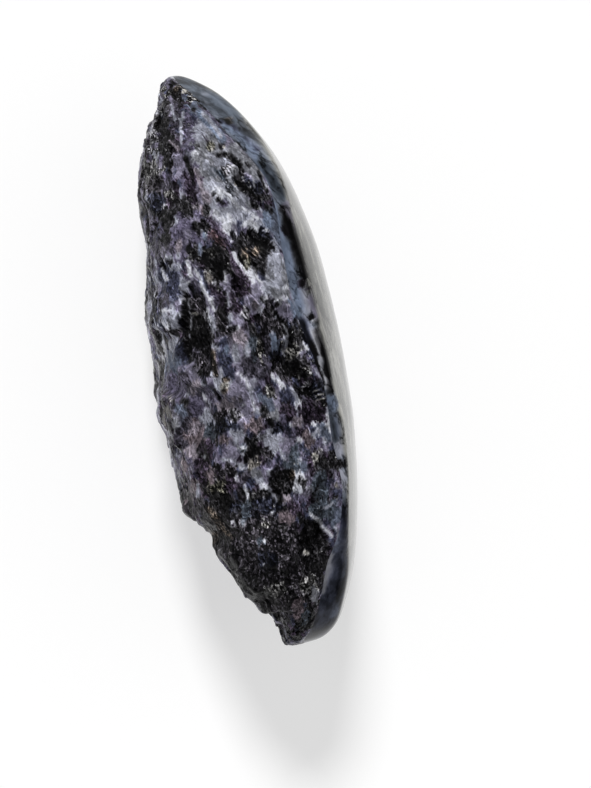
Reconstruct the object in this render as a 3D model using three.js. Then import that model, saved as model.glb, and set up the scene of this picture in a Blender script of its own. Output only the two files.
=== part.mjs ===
// A rough dark stone with one polished face, laid on its long edge.
// Millimetres, +Z up. The origin is on the resting face, below the stone's middle.
//
// The shape is worked out in the stone's own directions:
//   along   from the blunt end to the pointed tip,
//   across  from the broken back to the polished face,
//   depth   from the edge that it lies on to the edge that is uppermost.
// A last step leans it back and lays it on its resting face.
import * as THREE from 'three';

// Size and stance
const LENGTH = 64;
const HALF_LENGTH = LENGTH / 2;
const LEAN = THREE.MathUtils.degToRad(16); // how far the polished face leans back
const REST_DROP = 14.4; // from the stone's long axis down to its resting face
const REST_SHIFT = 2.4; // from the middle of the resting face back to the long axis

// The stone's outlines: [place along, distance across or in depth]
const POLISHED_FACE_LINE = [
  [-32, -0.3], [-31.8, 2.2], [-31.2, 3.7], [-30.2, 4.9], [-28.5, 6.0], [-25, 7.7],
  [-20.2, 9.2], [-13.7, 10.6], [-7.2, 11.5], [1.8, 11.9], [8.6, 11.75], [15.6, 10.8],
  [20.3, 9.6], [25.1, 7.35], [28.8, 4.8], [30.9, 2.5], [32, 0],
];
const BACK_LINE = [
  [-32, -0.3], [-31.4, -1.7], [-28.5, -2.7], [-26, -3.8], [-24, -5.2], [-19, -7.7],
  [-12, -9.1], [-4, -9.4], [4, -8.9], [12, -7.8], [20, -6.2], [26, -4.0], [30, -1.9],
  [32, 0],
];
// The same line with its notches and ledges, which are only as deep as the back is blunt
const BROKEN_BACK_LINE = [
  [-32, -0.3], [-31.5, -1.6], [-28.3, -1.8], [-26.6, -2.0], [-25.2, -2.8], [-24.2, -3.0],
  [-22.3, -3.4], [-20.9, -4.7], [-19.9, -5.9], [-18.7, -6.7], [-17.3, -7.5], [-16.2, -7.7],
  [-14.6, -8.8], [-8.1, -9.1], [-4, -9.6], [-1.7, -9.4], [0, -8.8], [3.5, -8.4],
  [5.3, -8.6], [9.2, -8.1], [12.9, -7.1], [19, -6.6], [23.5, -5.4], [26.5, -3.95],
  [27.7, -2.7], [28.5, -2.4], [29.3, -2.1], [31.2, -1.2], [32, 0],
];
const NEAR_DEPTH = [
  [-32, 0], [-31.7, 6.5], [-31, 9.6], [-29.5, 11.5], [-27, 12.8], [-21, 14.3],
  [-12, 15.3], [0, 15.7], [10, 15.1], [18, 12.9], [25, 9.2], [29, 6.0], [31, 3.3],
  [32, 0],
];
const FAR_DEPTH = [
  [-32, 0], [-31, 5.4], [-28, 10.2], [-20, 14.2], [-9, 16.2], [2, 16.5], [11, 15.3],
  [18, 12.7], [25, 9.4], [29, 5.8], [31, 3.0], [32, 0],
];

// How far the domed polished face falls from its outermost line to its near shoulder
const FACE_FALL = [
  [-32, 0], [-30.9, 0.5], [-28.4, 0.75], [-25.2, 1.05], [-22, 1.35], [-18.7, 1.35],
  [-15.7, 1.3], [-9, 1.65], [-5, 2.05], [1.7, 2.4], [7, 2.5], [11.4, 2.3], [14.2, 1.8],
  [18, 1.15], [20.6, 0.9], [24.5, 0.4], [29.8, 0.1], [32, 0],
];
// How much further the sloping shoulder falls to the rim where the polish ends
const SHOULDER_FALL = [
  [-32, 0], [-31.7, 1.8], [-30.9, 2.7], [-28.4, 2.6], [-25.2, 2.4], [-23.7, 2.1],
  [-22.2, 1.5], [-20, 0.8], [-16.5, 0.6], [-13.5, 0.9], [-10, 1.25], [-5, 0.85],
  [-0.6, 1.4], [4, 1.9], [8.8, 1.7], [14.2, 1.3], [18, 1.5], [20.6, 2.1], [24.5, 2.9],
  [29.8, 2.3], [32, 0],
];
const FACE_TOP = -0.35; // the outermost line of the face, from -1 at its far rim to 1
const RIM_DEPTH = 0.86; // the rims' depth, as a share of the stone's
const SHOULDER_STEEPNESS = 0.75; // the shoulder's width for each millimetre that it falls
const SHOULDER_LIMIT = 0.8; // its greatest width, as a share of the way to the rim
const SHOULDER_ROUNDING = 0.25; // how softly it meets the face, as a share of its width
const NEAR_CREST = 0.62; // place of the uppermost line between the back and the rim
const FAR_CREST = 0.55;
const BACK_FULLNESS = 0.77; // 1 is an ellipse, less is fuller
const NOTCH_START = 0.25; // the notches fade out between these shares of the depth
const NOTCH_END = 0.75;

// Relief of the broken surface
const BLOCK_SIZE = 11;
const BLOCK_HEIGHT = 0.7;
const BLOCK_TILT = 0.08;
const BLOCK_SEED = 41;
const FACET_SIZE = 6;
const FACET_HEIGHT = 0.5;
const FACET_TILT = 0.1;
const FACET_SEED = 11;
const LUMP_SIZE = 2.8;
const LUMP_HEIGHT = 0.3;
const LUMP_SEED = 23;
const RIM_MARGIN = 2.2; // the relief fades out over this width beside the rim
const BACK_SHARE = 0.5; // share of the relief that is left on the back's outline
const END_MARGIN = 0.45; // and out towards the ends, where the stone is this share as deep
const FULL_RELIEF_WIDTH = 7; // it is weaker where the broken surface is narrower than this

// Hollows of the broken surface on its upper side, one for each that stands out
const HOLLOWS = [
  { name: 'long cavity', along: 3.6, across: -3.3, long: 5.2, wide: 1.9, turn: 8, deep: 1.6 },
  { name: 'round clot', along: 11.4, across: 4.1, long: 2.7, wide: 2.5, turn: 0, deep: 0.9 },
  { name: 'slate pocket', along: 18, across: 5.6, long: 2.6, wide: 1.5, turn: 20, deep: 0.7 },
  { name: 'smooth pit', along: -9.8, across: -0.6, long: 2.7, wide: 1.9, turn: -12, deep: 1.3 },
  { name: 'brown hollow', along: -21.5, across: 4.2, long: 4.2, wide: 2.3, turn: 5, deep: 1.2 },
  { name: 'back notch', along: -18.2, across: -5.4, long: 1.6, wide: 2.6, turn: 25, deep: 0.6 },
  { name: 'crystal bed', along: -14.6, across: 0.6, long: 1.8, wide: 3.2, turn: 15, deep: 0.7 },
  { name: 'rim hollow', along: -1.5, across: 6.2, long: 4.6, wide: 1.9, turn: -6, deep: 0.8 },
  { name: 'left trough', along: -5.5, across: -5.6, long: 4.8, wide: 1.8, turn: 12, deep: 0.6 },
];

// Ridges and ledges of the same side, which stand out from it
const RIDGES = [
  { name: 'pale band', along: 19.5, across: 1.4, long: 6.5, wide: 1.6, turn: -14, deep: -0.8 },
  { name: 'cleft lip', along: 8.3, across: 6.0, long: 3.0, wide: 1.3, turn: -18, deep: -0.5 },
  { name: 'middle rib', along: 2.4, across: 1.0, long: 5.5, wide: 1.2, turn: -10, deep: -0.6 },
  { name: 'lower shelf', along: -7.5, across: 4.6, long: 4.0, wide: 1.7, turn: 8, deep: -0.6 },
  { name: 'end ledge', along: -24.5, across: -2.0, long: 1.5, wide: 2.2, turn: 20, deep: -0.4 },
  { name: 'toe rib', along: -27.5, across: 0.6, long: 3.0, wide: 1.3, turn: 8, deep: -0.4 },
];
const FORMS = [...HOLLOWS, ...RIDGES];

// Mesh fineness
const STATIONS = 63;
const POLISHED_STEPS = 18;
const NEAR_SHELF_STEPS = 8;
const NEAR_BACK_STEPS = 18;
const FAR_SHELF_STEPS = 6;
const FAR_BACK_STEPS = 14;

// Finish
const STONE_COLOUR = 0x34323e;
const STONE_ROUGHNESS = 0.45;

// Numbers that scramble a lattice point
const SCRAMBLE = [374761393, 668265263, 1440662683, 1013904223];
const SECOND_SCRAMBLE = 1274126177;
const FIRST_SHIFT = 13;
const SECOND_SHIFT = 16;
const HASH_RANGE = 4294967296;

// A repeatable number from 0 to 1 for a lattice point and a seed
function hash(...key) {
  let h = key.reduce((sum, v, n) => sum + Math.imul(v, SCRAMBLE[n]), 0);
  h = Math.imul(h ^ (h >>> FIRST_SHIFT), SECOND_SCRAMBLE);
  h ^= h >>> SECOND_SHIFT;
  return (h >>> 0) / HASH_RANGE;
}

function smooth(t) {
  const c = Math.min(Math.max(t, 0), 1);
  return c * c * (3 - 2 * c);
}

const CORNERS = [0, 1].flatMap((a) => [0, 1].flatMap((b) => [0, 1].map((c) => [a, b, c])));

// Rounded lumps, from -1 to 1
function lumps(point, size, seed) {
  const cell = point.map((v) => Math.floor(v / size));
  const part = point.map((v, n) => smooth(v / size - cell[n]));
  let sum = 0;
  for (const [a, b, c] of CORNERS) {
    const share = (a ? part[0] : 1 - part[0]) * (b ? part[1] : 1 - part[1]) * (c ? part[2] : 1 - part[2]);
    sum += share * hash(cell[0] + a, cell[1] + b, cell[2] + c, seed);
  }
  return 2 * sum - 1;
}

// Broken facets: each cell of a jittered lattice is a plane of its own height and tilt
function facets(point, size, tilt, seed) {
  const cell = point.map((v) => Math.floor(v / size));
  let nearest = Infinity;
  let value = 0;
  for (const a of [-1, 0, 1]) {
    for (const b of [-1, 0, 1]) {
      for (const c of [-1, 0, 1]) {
        const key = [cell[0] + a, cell[1] + b, cell[2] + c];
        const away = key.map((v, n) => point[n] - (v + hash(...key, seed + n)) * size);
        const distance = away[0] ** 2 + away[1] ** 2 + away[2] ** 2;
        if (distance < nearest) {
          nearest = distance;
          value = 2 * hash(...key, seed + 3) - 1;
          away.forEach((v, n) => {
            value += tilt * (2 * hash(...key, seed + 4 + n) - 1) * v;
          });
        }
      }
    }
  }
  return value;
}

// A curve through points along the stone. It is smooth in the angle whose sine is the
// place along, so that it can close roundly at both ends.
function outline(points) {
  const at = points.map(([along]) => Math.asin(along / HALF_LENGTH));
  const value = points.map(([, distance]) => distance);
  const rise = at.slice(1).map((a, i) => (value[i + 1] - value[i]) / (a - at[i]));
  const slope = at.map((_, i) => {
    const before = rise[Math.max(i - 1, 0)];
    const after = rise[Math.min(i, rise.length - 1)];
    return before * after <= 0 ? 0 : (2 * before * after) / (before + after);
  });
  return (angle) => {
    let i = 0;
    while (i < at.length - 2 && angle > at[i + 1]) i += 1;
    const span = at[i + 1] - at[i];
    const t = (angle - at[i]) / span;
    const [t2, t3] = [t * t, t * t * t];
    return (2 * t3 - 3 * t2 + 1) * value[i] + (t3 - 2 * t2 + t) * span * slope[i]
      + (3 * t2 - 2 * t3) * value[i + 1] + (t3 - t2) * span * slope[i + 1];
  };
}

const faceLine = outline(POLISHED_FACE_LINE);
const backLine = outline(BACK_LINE);
const brokenBackLine = outline(BROKEN_BACK_LINE);
const nearDepth = outline(NEAR_DEPTH);
const farDepth = outline(FAR_DEPTH);
const faceFall = outline(FACE_FALL);
const shoulderFall = outline(SHOULDER_FALL);

// How far down the shoulder is, from 1 at the rim, share 0, to a rounded crease at share 1
function shoulderShare(share) {
  const left = 1 - share;
  const full = 1 + Math.hypot(1, SHOULDER_ROUNDING);
  return (left + Math.hypot(left, SHOULDER_ROUNDING)) / full;
}

// The polished face across one section, t from 1 at the near rim to -1 at the far rim
function polishedAcross(angle, t) {
  const reach = RIM_DEPTH * (t > 0 ? nearDepth(angle) : farDepth(angle));
  const fall = shoulderFall(angle);
  const width = Math.min(SHOULDER_STEEPNESS * fall, SHOULDER_LIMIT * reach);
  const fromRim = (1 - Math.abs(t)) * reach;
  const dome = ((t - FACE_TOP) / (1 - FACE_TOP)) ** 2;
  return faceLine(angle) - faceFall(angle) * dome - fall * shoulderShare(fromRim / width);
}

// One section of the stone, as points with across, depth and the share of relief
function section(angle) {
  const ring = [];
  const depthAt = (t) => t * RIM_DEPTH * (t > 0 ? nearDepth(angle) : farDepth(angle));
  for (let i = 0; i < POLISHED_STEPS; i += 1) {
    const t = Math.cos((Math.PI * i) / POLISHED_STEPS);
    ring.push({ across: polishedAcross(angle, t), depth: depthAt(t), rough: 0 });
  }
  const far = roughQuarter(angle, -farDepth(angle), polishedAcross(angle, -1), FAR_CREST,
    FAR_SHELF_STEPS, FAR_BACK_STEPS);
  const near = roughQuarter(angle, nearDepth(angle), polishedAcross(angle, 1), NEAR_CREST,
    NEAR_SHELF_STEPS, NEAR_BACK_STEPS);
  const middle = { across: brokenBackLine(angle), depth: 0, rough: BACK_SHARE };
  ring.push(...far, middle, ...near.slice(1).reverse());
  return ring;
}

// The broken surface from a rim over the crest, ending just before the back's outline
function roughQuarter(angle, depth, rim, crestPlace, shelfSteps, backSteps) {
  const back = backLine(angle);
  const notch = brokenBackLine(angle) - back;
  const crest = back + crestPlace * (rim - back);
  const width = smooth((rim - back) / FULL_RELIEF_WIDTH);
  const points = [];
  for (let i = 0; i < shelfSteps; i += 1) {
    const s = 1 - i / shelfSteps;
    const fromRim = (1 - s) * (rim - crest);
    points.push({
      across: crest + (rim - crest) * s,
      depth: depth * (1 - (1 - RIM_DEPTH) * s * s),
      rough: width * smooth(fromRim / RIM_MARGIN),
    });
  }
  for (let i = 0; i < backSteps; i += 1) {
    const turn = (Math.PI / 2) * (i / backSteps);
    const share = Math.cos(turn) ** BACK_FULLNESS;
    const towardBack = Math.sin(turn) ** BACK_FULLNESS;
    const notched = towardBack * (1 - smooth((share - NOTCH_START) / (NOTCH_END - NOTCH_START)));
    points.push({
      across: crest - (crest - back) * towardBack + notch * notched,
      depth: depth * share,
      rough: width * (BACK_SHARE + (1 - BACK_SHARE) * smooth(share / NOTCH_END)),
    });
  }
  return points;
}

// Height of the relief at a point of the smooth stone
function relief(along, across, depth) {
  const point = [along, across, depth];
  let height = BLOCK_HEIGHT * facets(point, BLOCK_SIZE, BLOCK_TILT, BLOCK_SEED);
  height += FACET_HEIGHT * facets(point, FACET_SIZE, FACET_TILT, FACET_SEED);
  height += LUMP_HEIGHT * lumps(point, LUMP_SIZE, LUMP_SEED);
  if (depth > 0) {
    for (const form of FORMS) height -= form.deep * formShare(form, along, across);
  }
  return height;
}

// How much of a hollow or ridge lies at a place, from 1 at its middle to 0 at its edge
function formShare(form, along, across) {
  const turn = THREE.MathUtils.degToRad(form.turn);
  const a = along - form.along;
  const c = across - form.across;
  const x = (a * Math.cos(turn) + c * Math.sin(turn)) / form.long;
  const y = (c * Math.cos(turn) - a * Math.sin(turn)) / form.wide;
  const inside = Math.max(0, 1 - x * x - y * y);
  return inside * (2 - inside);
}

// From the stone's own directions to where it lies
function lay(along, across, depth) {
  const y = depth * Math.sin(LEAN) - across * Math.cos(LEAN) + REST_SHIFT;
  const z = depth * Math.cos(LEAN) + across * Math.sin(LEAN) + REST_DROP;
  return new THREE.Vector3(along, y, z);
}

// Rings from the blunt end to the tip, closed by one point at each end
function stoneGeometry() {
  const smoothPoints = [{ along: -HALF_LENGTH, across: backLine(-Math.PI / 2), depth: 0, rough: 0 }];
  for (let i = 1; i <= STATIONS; i += 1) {
    const angle = Math.PI * (i / (STATIONS + 1) - 0.5);
    const ends = smooth(Math.cos(angle) / END_MARGIN);
    for (const p of section(angle)) {
      smoothPoints.push({ ...p, along: HALF_LENGTH * Math.sin(angle), rough: p.rough * ends });
    }
  }
  smoothPoints.push({ along: HALF_LENGTH, across: backLine(Math.PI / 2), depth: 0, rough: 0 });

  const count = (smoothPoints.length - 2) / STATIONS;
  const at = (station, step) => 1 + station * count + (step % count);
  const last = smoothPoints.length - 1;
  const faces = [];
  for (let step = 0; step < count; step += 1) {
    faces.push(0, at(0, step + 1), at(0, step));
    faces.push(last, at(STATIONS - 1, step), at(STATIONS - 1, step + 1));
    for (let i = 0; i < STATIONS - 1; i += 1) {
      faces.push(at(i, step), at(i + 1, step + 1), at(i + 1, step));
      faces.push(at(i, step), at(i, step + 1), at(i + 1, step + 1));
    }
  }

  const geometry = new THREE.BufferGeometry();
  const places = smoothPoints.flatMap((p) => lay(p.along, p.across, p.depth).toArray());
  geometry.setAttribute('position', new THREE.Float32BufferAttribute(places, 3));
  geometry.setIndex(faces);
  geometry.computeVertexNormals();

  const position = geometry.getAttribute('position');
  const normal = geometry.getAttribute('normal');
  const place = new THREE.Vector3();
  const out = new THREE.Vector3();
  smoothPoints.forEach((p, i) => {
    place.fromBufferAttribute(position, i);
    out.fromBufferAttribute(normal, i);
    place.addScaledVector(out, p.rough * relief(p.along, p.across, p.depth));
    position.setXYZ(i, place.x, place.y, Math.max(place.z, 0));
  });
  geometry.computeVertexNormals();
  return geometry;
}

const stone = new THREE.Mesh(
  stoneGeometry(),
  new THREE.MeshStandardMaterial({ color: STONE_COLOUR, roughness: STONE_ROUGHNESS, metalness: 0 }),
);
stone.name = 'stone';

const object = new THREE.Group();
object.add(stone);
export default object;
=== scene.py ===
import math
from itertools import product

import bpy
import numpy as np
from mathutils import Matrix, Vector


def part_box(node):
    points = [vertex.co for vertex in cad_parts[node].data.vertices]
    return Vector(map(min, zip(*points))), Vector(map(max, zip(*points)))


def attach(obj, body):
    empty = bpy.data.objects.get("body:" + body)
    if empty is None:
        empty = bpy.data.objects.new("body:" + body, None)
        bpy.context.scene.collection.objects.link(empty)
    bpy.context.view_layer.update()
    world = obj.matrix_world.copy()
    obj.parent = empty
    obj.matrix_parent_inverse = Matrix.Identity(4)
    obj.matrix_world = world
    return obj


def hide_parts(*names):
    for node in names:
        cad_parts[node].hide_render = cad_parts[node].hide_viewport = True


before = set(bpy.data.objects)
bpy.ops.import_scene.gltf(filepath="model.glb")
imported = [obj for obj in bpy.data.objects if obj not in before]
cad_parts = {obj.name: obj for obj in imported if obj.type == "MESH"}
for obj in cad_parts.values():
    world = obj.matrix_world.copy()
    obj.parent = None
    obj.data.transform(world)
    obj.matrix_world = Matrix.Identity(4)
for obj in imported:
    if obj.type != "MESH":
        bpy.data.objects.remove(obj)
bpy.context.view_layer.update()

MM = 0.001
solid_low, solid_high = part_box("stone")

# Size and stance. The shape is worked out in millimetres in the stone's own directions, as its
# solid is: along to the pointed tip, across to the polished face, and in depth upwards.
HALF_LENGTH = (solid_high[0] - solid_low[0]) / MM / 2
LEAN = math.radians(16)  # how far the polished face leans back
REST_DROP = 14.4  # from the stone's long axis down to its resting face
REST_SHIFT = 2.4  # from the middle of the resting face back to the long axis

# Outlines: [place along, distance across or in depth]
POLISHED_FACE_LINE = [
    [-32, -0.3], [-31.8, 2.2], [-31.2, 3.7], [-30.2, 4.9], [-28.5, 6.0], [-25, 7.7],
    [-20.2, 9.2], [-13.7, 10.6], [-7.2, 11.5], [1.8, 11.9], [8.6, 11.75], [15.6, 10.8],
    [20.3, 9.6], [25.1, 7.35], [28.8, 4.8], [30.9, 2.5], [32, 0],
]
BACK_LINE = [
    [-32, -0.3], [-31.4, -1.7], [-28.5, -2.7], [-26, -3.8], [-24, -5.2], [-19, -7.7],
    [-12, -9.1], [-4, -9.4], [4, -8.9], [12, -7.8], [20, -6.2], [26, -4.0], [30, -1.9],
    [32, 0],
]
# The same line with its notches and ledges
BROKEN_BACK_LINE = [
    [-32, -0.3], [-31.5, -1.6], [-28.3, -1.8], [-26.6, -2.0], [-25.2, -2.8], [-24.2, -3.0],
    [-22.3, -3.4], [-20.9, -4.7], [-19.9, -5.9], [-18.7, -6.7], [-17.3, -7.5], [-16.2, -7.7],
    [-14.6, -8.8], [-8.1, -9.1], [-4, -9.6], [-1.7, -9.4], [0, -8.8], [3.5, -8.4],
    [5.3, -8.6], [9.2, -8.1], [12.9, -7.1], [19, -6.6], [23.5, -5.4], [26.5, -3.95],
    [27.7, -2.7], [28.5, -2.4], [29.3, -2.1], [31.2, -1.2], [32, 0],
]
NEAR_DEPTH = [
    [-32, 0], [-31.7, 6.5], [-31, 9.6], [-29.5, 11.5], [-27, 12.8], [-21, 14.3],
    [-12, 15.3], [0, 15.7], [10, 15.1], [18, 12.9], [25, 9.2], [29, 6.0], [31, 3.3],
    [32, 0],
]
FAR_DEPTH = [
    [-32, 0], [-31, 5.4], [-28, 10.2], [-20, 14.2], [-9, 16.2], [2, 16.5], [11, 15.3],
    [18, 12.7], [25, 9.4], [29, 5.8], [31, 3.0], [32, 0],
]
# How far the domed polished face falls from its outermost line to its near shoulder
FACE_FALL = [
    [-32, 0], [-30.9, 0.5], [-28.4, 0.75], [-25.2, 1.05], [-22, 1.35], [-18.7, 1.35],
    [-15.7, 1.3], [-9, 1.65], [-5, 2.05], [1.7, 2.4], [7, 2.5], [11.4, 2.3], [14.2, 1.8],
    [18, 1.15], [20.6, 0.9], [24.5, 0.4], [29.8, 0.1], [32, 0],
]
# How much further the sloping shoulder falls to the rim where the polish ends
SHOULDER_FALL = [
    [-32, 0], [-31.7, 1.8], [-30.9, 2.7], [-28.4, 2.6], [-25.2, 2.4], [-23.7, 2.1],
    [-22.2, 1.5], [-20, 0.8], [-16.5, 0.6], [-13.5, 0.9], [-10, 1.25], [-5, 0.85],
    [-0.6, 1.4], [4, 1.9], [8.8, 1.7], [14.2, 1.3], [18, 1.5], [20.6, 2.1], [24.5, 2.9],
    [29.8, 2.3], [32, 0],
]
FACE_TOP = -0.35  # the outermost line of the face, from -1 at its far rim to 1
RIM_DEPTH = 0.86  # the rims' depth, as a share of the stone's
SHOULDER_STEEPNESS = 0.75  # the shoulder's width for each millimetre that it falls
SHOULDER_LIMIT = 0.8  # its greatest width, as a share of the way to the rim
SHOULDER_ROUNDING = 0.25  # how softly it meets the face, as a share of its width
NEAR_CREST = 0.62  # place of the uppermost line between the back and the rim
FAR_CREST = 0.55
BACK_FULLNESS = 0.77  # 1 is an ellipse, less is fuller
NOTCH_START = 0.25  # the notches fade out between these shares of the depth
NOTCH_END = 0.75

# Relief that the solid has too
BLOCK_SIZE = 11
BLOCK_HEIGHT = 0.7
BLOCK_TILT = 0.08
BLOCK_SEED = 41
FACET_SIZE = 6
FACET_HEIGHT = 0.5
FACET_TILT = 0.1
FACET_SEED = 11
LUMP_SIZE = 2.8
LUMP_HEIGHT = 0.3
LUMP_SEED = 23
RELIEF_SHAKE = (1.6, 0.4, 251)  # size, reach and seed of what makes its borders wander
STEP_SOFTENING = 3  # how many times the steps between facets are softened
RIM_MARGIN = 2.2  # the relief fades out over this width beside the rim
BACK_SHARE = 0.5  # share of the relief that is left on the back's outline
END_MARGIN = 0.45  # and out towards the ends, where the stone is this share as deep
FULL_RELIEF_WIDTH = 7  # it is weaker where the broken surface is narrower than this

# Hollows and ridges of the upper side: along, across, half length, half width, turn, depth
FORMS = {
    "long cavity": (3.6, -3.3, 5.2, 1.9, 8, 1.6),
    "round clot": (11.4, 4.1, 2.7, 2.5, 0, 0.9),
    "slate pocket": (18, 5.6, 2.6, 1.5, 20, 0.7),
    "smooth pit": (-9.8, -0.6, 2.7, 1.9, -12, 1.3),
    "brown hollow": (-21.5, 4.2, 4.2, 2.3, 5, 1.2),
    "back notch": (-18.2, -5.4, 1.6, 2.6, 25, 0.6),
    "crystal bed": (-14.6, 0.6, 1.8, 3.2, 15, 0.7),
    "rim hollow": (-1.5, 6.2, 4.6, 1.9, -6, 0.8),
    "left trough": (-5.5, -5.6, 4.8, 1.8, 12, 0.6),
    "pale band": (19.5, 1.4, 6.5, 1.6, -14, -0.8),
    "cleft lip": (8.3, 6.0, 3.0, 1.3, -18, -0.5),
    "middle rib": (2.4, 1.0, 5.5, 1.2, -10, -0.6),
    "lower shelf": (-7.5, 4.6, 4.0, 1.7, 8, -0.6),
    "end ledge": (-24.5, -2.0, 1.5, 2.2, 20, -0.4),
    "toe rib": (-27.5, 0.6, 3.0, 1.3, 8, -0.4),
}

# Grain of the rock. It runs in lines that lean across the stone and bend, and it is drawn out
# along them, more so toward the tip.
GRAIN_RATE = 0.56
GRAIN_RATE_FALL = 0.0022
GRAIN_LEAN = 0.17
GRAIN_BEND = 0.0038

# Finer relief, only in this surface: grains, chips and grit
GRAIN_SIZE = 2.1
GRAIN_HEIGHT = 0.17
GRAIN_TILT = 0.32
GRAIN_SEED = 61
CHIP_SIZE = 0.95
CHIP_HEIGHT = 0.065
CHIP_TILT = 0.5
CHIP_SEED = 83
GRIT_SIZE = 0.45
GRIT_HEIGHT = 0.025
GRIT_SEED = 97
GRAIN_SHAKE = (1.4, 0.35, 241)
FINE_MARGIN = 0.5
FINE_END_MARGIN = 0.22

# Chips along the polished face's rim
RIM_CHIP_DEPTH = 0.014  # as a share of the stone's
RIM_CHIP_POWER = 24  # how soon they fade away from the rim
RIM_CHIP_SIZE = 1.7
RIM_CHIP_TILT = 0.4
RIM_CHIP_SEED = 211
RIM_LUMP_SIZE = 0.7
RIM_LUMP_SEED = 223

# Mesh fineness
STATIONS = 404
POLISHED_STEPS = 34
NEAR_SHELF_STEPS = 40
NEAR_BACK_STEPS = 88
FAR_SHELF_STEPS = 14
FAR_BACK_STEPS = 60
SHARP_ANGLE = math.radians(38)

# The photograph's frame, in which the markings are placed
PHOTO_SIZE = (591, 788)
PHOTO_SCALE = 9.078 / MM
TILT = math.radians(12.84)
CAMERA_DISTANCE = 0.42
LOOK_AT = (-5.146, 5.607)
CLIP_START = 0.01
CLIP_END = 20

# Kinds of mineral: brightness, tint, share of grain contrast, height of the relief
KINDS = {
    "black": (0.07, (1.0, 0.96, 1.08), 1.2, -0.1),
    "navy": (0.15, (0.85, 0.92, 1.45), 1.1, -0.06),
    "murk": (0.15, (1.04, 0.95, 1.14), 1.4, -0.03),
    "olive": (0.17, (1.08, 1.04, 0.84), 1.9, -0.05),
    "plum": (0.23, (1.1, 0.84, 1.3), 0.9, -0.03),
    "rust": (0.3, (1.32, 0.84, 0.94), 0.9, -0.02),
    "brown": (0.3, (1.22, 0.98, 0.8), 1.5, -0.06),
    "indigo": (0.34, (0.84, 0.9, 1.5), 0.6, 0.0),
    "deep": (0.27, (0.84, 0.93, 1.36), 0.6, 0.0),
    "dusk": (0.36, (1.0, 0.92, 1.24), 0.7, 0.0),
    "slate": (0.4, (0.84, 1.0, 1.28), 0.6, -0.02),
    "violet": (0.47, (1.0, 0.9, 1.38), 0.55, 0.0),
    "rosy": (0.49, (1.16, 0.93, 1.06), 0.65, 0.0),
    "steel": (0.5, (0.84, 0.97, 1.34), 0.4, 0.0),
    "beige": (0.53, (1.08, 1.0, 0.93), 0.8, 0.02),
    "grey": (0.6, (0.97, 0.99, 1.12), 0.42, 0.0),
    "blue": (0.62, (0.8, 0.98, 1.38), 0.4, 0.02),
    "lilac": (0.6, (1.0, 0.93, 1.28), 0.45, 0.03),
    "blush": (0.63, (1.08, 0.95, 1.12), 0.55, 0.03),
    "pale": (0.71, (0.95, 0.98, 1.17), 0.42, 0.05),
    "cream": (0.74, (1.04, 1.0, 0.93), 0.7, 0.05),
    "white": (0.86, (0.97, 0.99, 1.09), 0.5, 0.08),
    "flecks": (0.27, (1.02, 1.0, 1.0), 1.9, -0.03),
    "crumbs": (0.44, (1.04, 1.01, 0.96), 1.8, 0.02),
    "gravel": (0.52, (1.0, 0.98, 1.08), 1.5, 0.02),
    # The sparkle kind is pale crystal with painted glints: bright specks made by grain contrast.
    "sparkle": (0.55, (0.93, 0.98, 1.16), 1.7, 0.04),
    "smoky": (0.49, (0.86, 0.97, 1.22), 0.8, 0.0),
    # The last kind, on the polished face, is partly its own pale colour and partly painted
    # reflection.
    "milky_and_reflection": (0.63, (1.02, 1.01, 0.93), 0.7, 0.0),
}

# The broken rock's own mixture: where each kind begins on a scale from -1 to 1
BROKEN_GROUND = "black"
BROKEN_MIXTURE = [
    (-0.5, "plum"), (-0.22, "indigo"), (0.05, "violet"), (0.36, "lilac"), (0.62, "pale"),
    (0.85, "white"),
]
MIXTURE_SOFTNESS = 0.04

# The polished side is of one kind on its shoulder and of another on the face above it
SHOULDER_GROUND = "smoky"
# The face's kind is partly its own pale colour and partly painted reflection.
FACE_GROUND_AND_REFLECTION = "milky_and_reflection"
FACE_FADE = (0.7, 0.4)  # where the second one begins, in shoulder widths, and over how far

# What the mixture depends on: broad clouds, flakes, and each crystal's own chance
CRYSTAL_SIZE = 0.5
CRYSTAL_SEED = 151
CRYSTAL_SHAKE = (0.3, 0.12, 181)
CLOUD_SHARE = 1.1
CLOUD_SIZE = 2.6
CLOUD_SEED = 131
FLAKE_SHARE = 0.55
FLAKE_SIZE = 1.6
FLAKE_SEED = 141
CHANCE_SHARE = 0.5
CHANCE_SEED = 163

# Borders of the markings. Those of wide patches follow the crystals, and the others wander.
FINE_MARK = 4.5
CRYSTAL_JITTER = 0.3
EDGE_SOFTNESS = 0.12
FINE_SOFTNESS = 0.3
STREAK_SOFTNESS = 0.45
FINE_WANDER = 1.2
WANDER_SIZE = 0.6
WANDER_SEEDS = (191, 197)

# Where the surface turns away from the camera, the markings stray, so that none is smeared
TURNED_FADE = (0.55, 0.45)
TURNED_WANDER = 24
TURNED_SIZE = 2.2
TURNED_SEEDS = (199, 227)

# Where the markings fade out: start and width of the fade, in shares of the near depth, and for
# the polished side in shoulder widths too
BROKEN_MARKS_FADE = (-0.02, 0.3)
POLISHED_MARKS_FADE = (-0.05, 0.3)
POLISHED_MARKS_END = (1.1, 0.5)
LEAST_DEPTH = 0.1
LEAST_SHOULDER = 0.05


def read_marks(text):
    """Markings by name. Each line has a name, a kind of mineral and numbers."""
    marks = {}
    for line in text.strip().splitlines():
        if not line.startswith("#"):
            name, values = line.split(": ")
            kind, *numbers = values.replace(",", "").split()
            marks[name] = kind, [float(number) for number in numbers]
    return marks
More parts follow.
